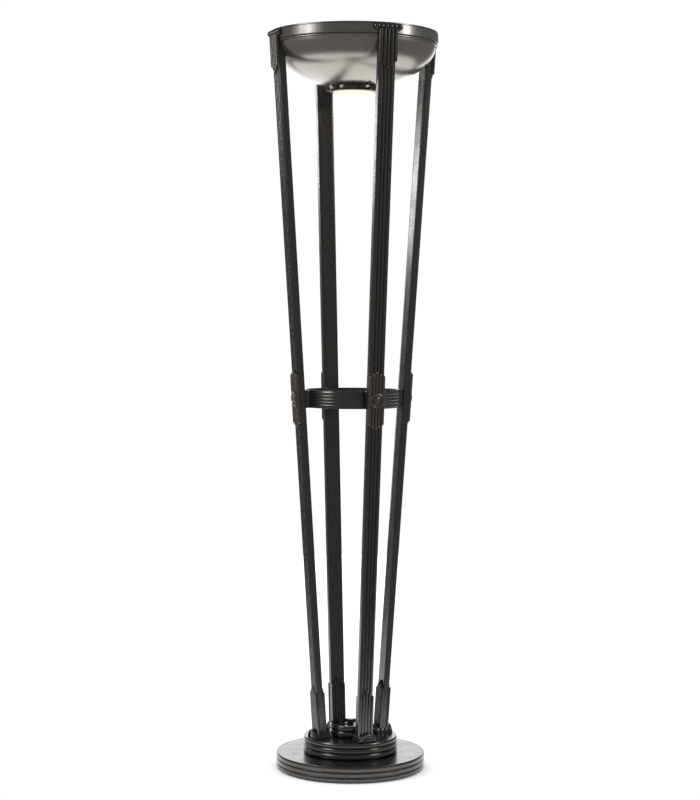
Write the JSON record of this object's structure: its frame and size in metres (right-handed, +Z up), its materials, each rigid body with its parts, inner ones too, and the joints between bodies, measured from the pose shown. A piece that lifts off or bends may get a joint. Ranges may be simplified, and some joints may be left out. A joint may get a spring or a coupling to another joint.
{
  "type": "torchiere floor lamp",
  "caption": "Torchiere floor lamp: leaning reeded legs on a turned disc base carry a spun metal bowl that throws light up, with a glass lens underneath",
  "frame": {"origin": "centre of the felt pad's underside, on the floor", "axes": "+Z up along the lamp; a leg stands towards each of -Y, +X, +Y and -X; the cord inlet is towards +Y"},
  "size_m": [0.4344, 0.4344, 1.83],
  "materials": {
    "bronze": "plated dark bronze, satin lacquered",
    "dark_bronze": "darker bronze, glossy",
    "pewter": "spun metal, satin pewter lacquer",
    "iron": "rough cast",
    "zinc_steel": "zinc plated",
    "felt": "needled felt",
    "black_plastic": "moulded nylon",
    "lead": "sheathed lead",
    "holder_plastic": "moulded thermoset",
    "bulb_glass": "opal glass",
    "lens_glass": "frosted cream glass"
  },
  "bodies": {
    "stand": {"felt_pad": "felt", "bottom_cover": "zinc_steel", "cover_screws": "zinc_steel", "base_disc": "bronze", "ballast": "iron", "ballast_bolts": "zinc_steel", "inlet_bush": "black_plastic", "drum": "bronze", "hub": "bronze", "tie_bolts": "zinc_steel", "dimmer_body": "black_plastic", "dimmer_nut": "zinc_steel", "foot_1": "bronze", "foot_2": "bronze", "foot_3": "bronze", "foot_4": "bronze", "leg_1": "bronze", "leg_2": "bronze", "leg_3": "bronze", "leg_4": "bronze", "leg_bolts": "zinc_steel", "lower_straps_outer": "bronze", "lower_straps_inner": "bronze", "mid_strap_1": "bronze", "mid_strap_2": "bronze", "mid_strap_3": "bronze", "mid_strap_4": "bronze", "boss_bolts": "bronze", "ring_band": "bronze", "ring_blocks": "bronze", "ring_nuts": "zinc_steel", "top_strap_1": "bronze", "top_strap_2": "bronze", "top_strap_3": "bronze", "top_strap_4": "bronze", "capital_1": "bronze", "capital_2": "bronze", "capital_3": "bronze", "capital_4": "bronze", "rim_band": "bronze", "rim_screws": "zinc_steel", "bowl": "pewter", "gallery_ring": "dark_bronze", "lamp_bridge": "zinc_steel", "bridge_screws": "zinc_steel", "terminal_block": "holder_plastic", "lamp_holders": "holder_plastic", "lead_wire": "lead"},
    "knob": {"dimmer_knob": "bronze"},
    "lens": {"lens": "lens_glass"},
    "thumb_1": {"thumbscrew_1": "dark_bronze"},
    "thumb_2": {"thumbscrew_2": "dark_bronze"},
    "thumb_3": {"thumbscrew_3": "dark_bronze"},
    "bulb_1": {"bulb_1": "bulb_glass"},
    "bulb_2": {"bulb_2": "bulb_glass"},
    "bulb_3": {"bulb_3": "bulb_glass"}
  },
  "joints": [
    {"name": "dimmer_turn", "type": "hinge", "parent": "stand", "child": "knob", "pos_m": [0, 0, 0.115], "axis": [0, 0, 1], "range_deg": [0, 300]},
    {"name": "bulb_1_turn", "type": "hinge", "parent": "stand", "child": "bulb_1", "pos_m": [0, -0.034, 1.73], "axis": [0, 0, 1], "range_deg": [0, 720]},
    {"name": "bulb_2_turn", "type": "hinge", "parent": "stand", "child": "bulb_2", "pos_m": [0.02944, 0.017, 1.73], "axis": [0, 0, 1], "range_deg": [0, 720]},
    {"name": "bulb_3_turn", "type": "hinge", "parent": "stand", "child": "bulb_3", "pos_m": [-0.02944, 0.017, 1.73], "axis": [0, 0, 1], "range_deg": [0, 720]},
    {"name": "thumbscrew_1_turn", "type": "hinge", "parent": "stand", "child": "thumb_1", "pos_m": [0.04015, 0.04459, 1.6905], "axis": [0.6691, 0.7431, 0], "range_deg": [0, 720]},
    {"name": "thumbscrew_2_turn", "type": "hinge", "parent": "stand", "child": "thumb_2", "pos_m": [-0.05869, 0.01247, 1.6905], "axis": [-0.9781, 0.2079, 0], "range_deg": [0, 720]},
    {"name": "thumbscrew_3_turn", "type": "hinge", "parent": "stand", "child": "thumb_3", "pos_m": [0.01854, -0.05706, 1.6905], "axis": [0.309, -0.9511, 0], "range_deg": [0, 720]},
    {"name": "lens_lift_out", "type": "slide", "parent": "stand", "child": "lens", "axis": [0, 0, -1], "range_m": [0, 0.03]}
  ]
}
